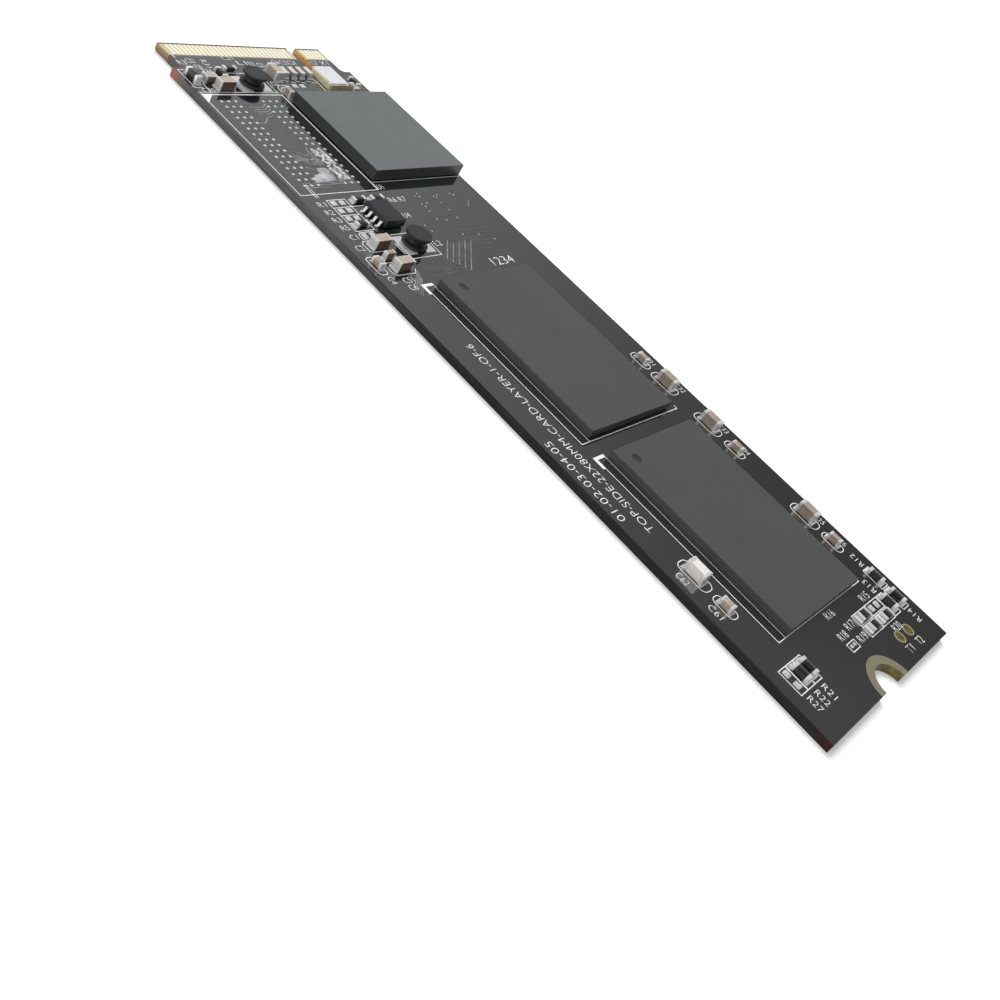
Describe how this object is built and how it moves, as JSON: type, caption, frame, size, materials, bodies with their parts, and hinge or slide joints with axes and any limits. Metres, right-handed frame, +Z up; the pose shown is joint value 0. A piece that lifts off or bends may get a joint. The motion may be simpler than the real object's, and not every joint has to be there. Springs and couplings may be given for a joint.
{
  "type": "solid state drive card",
  "caption": "Flat storage card: a dark circuit board with flat chips, small soldered parts, a keyed edge connector and a screw half-hole.",
  "frame": {"origin": "middle of the board's underside", "axes": "+X from the connector edge to the screw end, +Y across the card, +Z up from the underside to the parts"},
  "size_m": [0.08, 0.022, 0.002],
  "materials": {
    "board": "dark charcoal solder mask over glass and resin board, glossy",
    "contact_gold": "gold plated",
    "plated_copper": "dull gold plated copper",
    "solder": "solder coated copper",
    "chip_plastic": "moulded dark grey resin",
    "tinned_metal": "bright tin plate",
    "gold_ceramic": "gold plated tray on ceramic",
    "lid_metal": "plain metal lid",
    "ferrite": "smooth grey ferrite",
    "winding_wire": "dark lacquered copper wire",
    "capacitor_ceramic": "tan fired ceramic with tinned ends",
    "resistor_body": "black coated ceramic with tinned ends"
  },
  "bodies": {
    "root": {"bottom_contacts": "contact_gold", "cache_memory_pads": "solder", "capacitor_01": "capacitor_ceramic", "capacitor_02": "capacitor_ceramic", "capacitor_03": "capacitor_ceramic", "capacitor_04": "capacitor_ceramic", "capacitor_05": "capacitor_ceramic", "capacitor_06": "capacitor_ceramic", "capacitor_07": "capacitor_ceramic", "capacitor_08": "capacitor_ceramic", "capacitor_09": "capacitor_ceramic", "capacitor_10": "capacitor_ceramic", "capacitor_11": "capacitor_ceramic", "capacitor_12": "capacitor_ceramic", "capacitor_13": "capacitor_ceramic", "capacitor_14": "capacitor_ceramic", "capacitor_15": "capacitor_ceramic", "capacitor_16": "capacitor_ceramic", "capacitor_17": "capacitor_ceramic", "capacitor_18": "capacitor_ceramic", "capacitor_19": "capacitor_ceramic", "capacitor_20": "capacitor_ceramic", "capacitor_21": "capacitor_ceramic", "circuit_board": "board", "coil_core_1": "ferrite", "coil_core_2": "ferrite", "coil_pads": "solder", "coil_winding_1": "winding_wire", "coil_winding_2": "winding_wire", "controller_balls": "solder", "controller_chip": "chip_plastic", "crystal_base": "gold_ceramic", "crystal_lid": "lid_metal", "ferrite_bead": "resistor_body", "flash_balls_1": "solder", "flash_balls_2": "solder", "flash_chip_1": "chip_plastic", "flash_chip_2": "chip_plastic", "regulator_case": "chip_plastic", "regulator_legs": "tinned_metal", "resistor_01": "resistor_body", "resistor_02": "resistor_body", "resistor_03": "resistor_body", "resistor_04": "resistor_body", "resistor_05": "resistor_body", "resistor_06": "resistor_body", "resistor_07": "resistor_body", "resistor_08": "resistor_body", "resistor_09": "resistor_body", "resistor_10": "resistor_body", "resistor_11": "resistor_body", "resistor_12": "resistor_body", "resistor_13": "resistor_body", "resistor_14": "resistor_body", "screw_hole_ring": "plated_copper", "spare_chip_pads": "solder", "test_pads": "plated_copper", "top_contacts": "contact_gold"}
  },
  "joints": []
}
